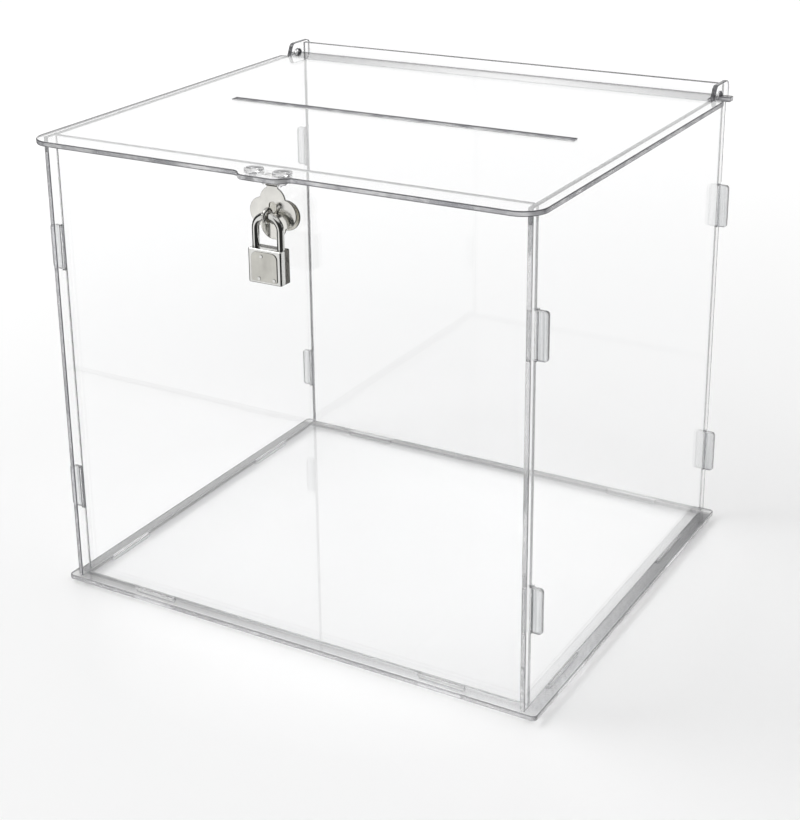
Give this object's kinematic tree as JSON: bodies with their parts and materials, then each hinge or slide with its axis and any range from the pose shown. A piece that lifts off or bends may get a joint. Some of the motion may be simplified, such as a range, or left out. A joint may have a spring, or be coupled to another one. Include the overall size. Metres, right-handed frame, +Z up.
{
  "type": "ballot box",
  "caption": "Clear sheet ballot box with a slotted hinged lid, a front tongue with a lobed metal hasp, a ring staple and a small hanging padlock.",
  "frame": {"origin": "middle of the overall box at table height, at the ends of the wall tabs that it stands on", "axes": "+Z up, +Y from the front to the back, +X to the right seen from the front"},
  "size_m": [0.314, 0.291, 0.2887],
  "materials": {
    "clear_sheet": "clear polished sheet",
    "clear_screw": "clear moulded",
    "hasp_nickel": "bright nickel plate",
    "lock_chrome": "bright chrome plate",
    "lock_face": "satin plate",
    "key_plug_brass": "machined",
    "latch_steel": "plain"
  },
  "bodies": {
    "case": {"base_panel": "clear_sheet", "front_panel": "clear_sheet", "back_panel": "clear_sheet", "left_panel": "clear_sheet", "right_panel": "clear_sheet", "staple_plate": "hasp_nickel", "staple_ring": "hasp_nickel", "staple_nut": "hasp_nickel", "staple_rivets": "hasp_nickel"},
    "lid": {"lid_panel": "clear_sheet", "hasp_screws": "clear_screw", "hasp_bracket": "clear_screw", "hasp_hinge_pin": "hasp_nickel"},
    "leaf": {"hasp_leaf": "hasp_nickel"},
    "shackle": {"shackle": "lock_chrome"},
    "padlock": {"padlock_body": "lock_chrome", "padlock_face_plate": "lock_face", "padlock_back_plate": "lock_chrome", "padlock_rivets": "lock_chrome", "shackle_keeper": "lock_chrome"},
    "plug": {"key_plug": "key_plug_brass"},
    "latch": {"latch_bolt": "latch_steel"}
  },
  "joints": [
    {"name": "lid_hinge", "type": "hinge", "parent": "case", "child": "lid", "pos_m": [0, 0.13, 0.28025], "axis": [-1, 0, 0], "range_deg": [0, 115]},
    {"name": "hasp_leaf_hinge", "type": "hinge", "parent": "lid", "child": "leaf", "pos_m": [0.0044, -0.131, 0.27485], "axis": [-1, 0, 0], "range_deg": [-86.25, 0]},
    {"name": "padlock_swing", "type": "hinge", "parent": "case", "child": "shackle", "pos_m": [0.0044, -0.1365, 0.25855], "axis": [-1, 0, 0], "range_deg": [0, 80]},
    {"name": "padlock_drop", "type": "slide", "parent": "shackle", "child": "padlock", "axis": [0, 0, -1], "range_m": [0, 0.0068]},
    {"name": "key_plug_turn", "type": "hinge", "parent": "padlock", "child": "plug", "pos_m": [0.0044, -0.1365, 0.22295], "axis": [0, 0, 1], "range_deg": [0, 90.1]},
    {"name": "latch_slide", "type": "slide", "parent": "padlock", "child": "latch", "axis": [-1, 0, 0], "range_m": [0, 0.00321]}
  ],
  "couplings": [
    {"joint": "hasp_leaf_hinge", "follows": "lid_hinge", "ratio": -0.75},
    {"joint": "key_plug_turn", "follows": "padlock_drop", "rad_per_m": 231},
    {"joint": "latch_slide", "follows": "padlock_drop", "ratio": 0.47059}
  ]
}
